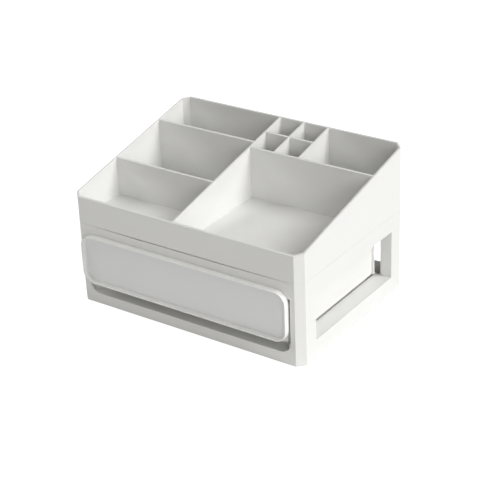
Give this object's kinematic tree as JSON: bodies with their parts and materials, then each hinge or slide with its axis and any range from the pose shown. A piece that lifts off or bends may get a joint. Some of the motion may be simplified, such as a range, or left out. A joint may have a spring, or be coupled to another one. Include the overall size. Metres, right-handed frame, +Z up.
{
  "type": "desk organizer with drawer",
  "caption": "Desktop organizer: an open tray with a sloped rim, upright dividers and pen cells, standing on a windowed housing with one full-width drawer.",
  "frame": {"origin": "on the ground under the middle of the object's box, with the drawer closed", "axes": "+X to the object's right, seen from the back looking out of the front as -Y; -Y is the front with the drawer, +Z is up"},
  "size_m": [0.28, 0.207, 0.1643],
  "materials": {
    "body_plastic": "satin",
    "drawer_plastic": "satin",
    "panel_plastic": "matte",
    "foot_rubber": "matte"
  },
  "bodies": {
    "housing": {"drawer_housing": "body_plastic", "foot_front_left": "foot_rubber", "foot_front_right": "foot_rubber", "foot_rear_left": "foot_rubber", "foot_rear_right": "foot_rubber"},
    "drawer": {"drawer_bin": "drawer_plastic", "drawer_front": "body_plastic", "drawer_front_panel": "panel_plastic"},
    "tray": {"organizer_tray": "body_plastic"}
  },
  "joints": [
    {"name": "drawer_slide", "type": "slide", "parent": "housing", "child": "drawer", "axis": [0, -1, 0], "range_m": [0, 0.12]},
    {"name": "tray_lift", "type": "slide", "parent": "housing", "child": "tray", "axis": [0, 0, 1], "range_m": [0, 0.05]}
  ]
}
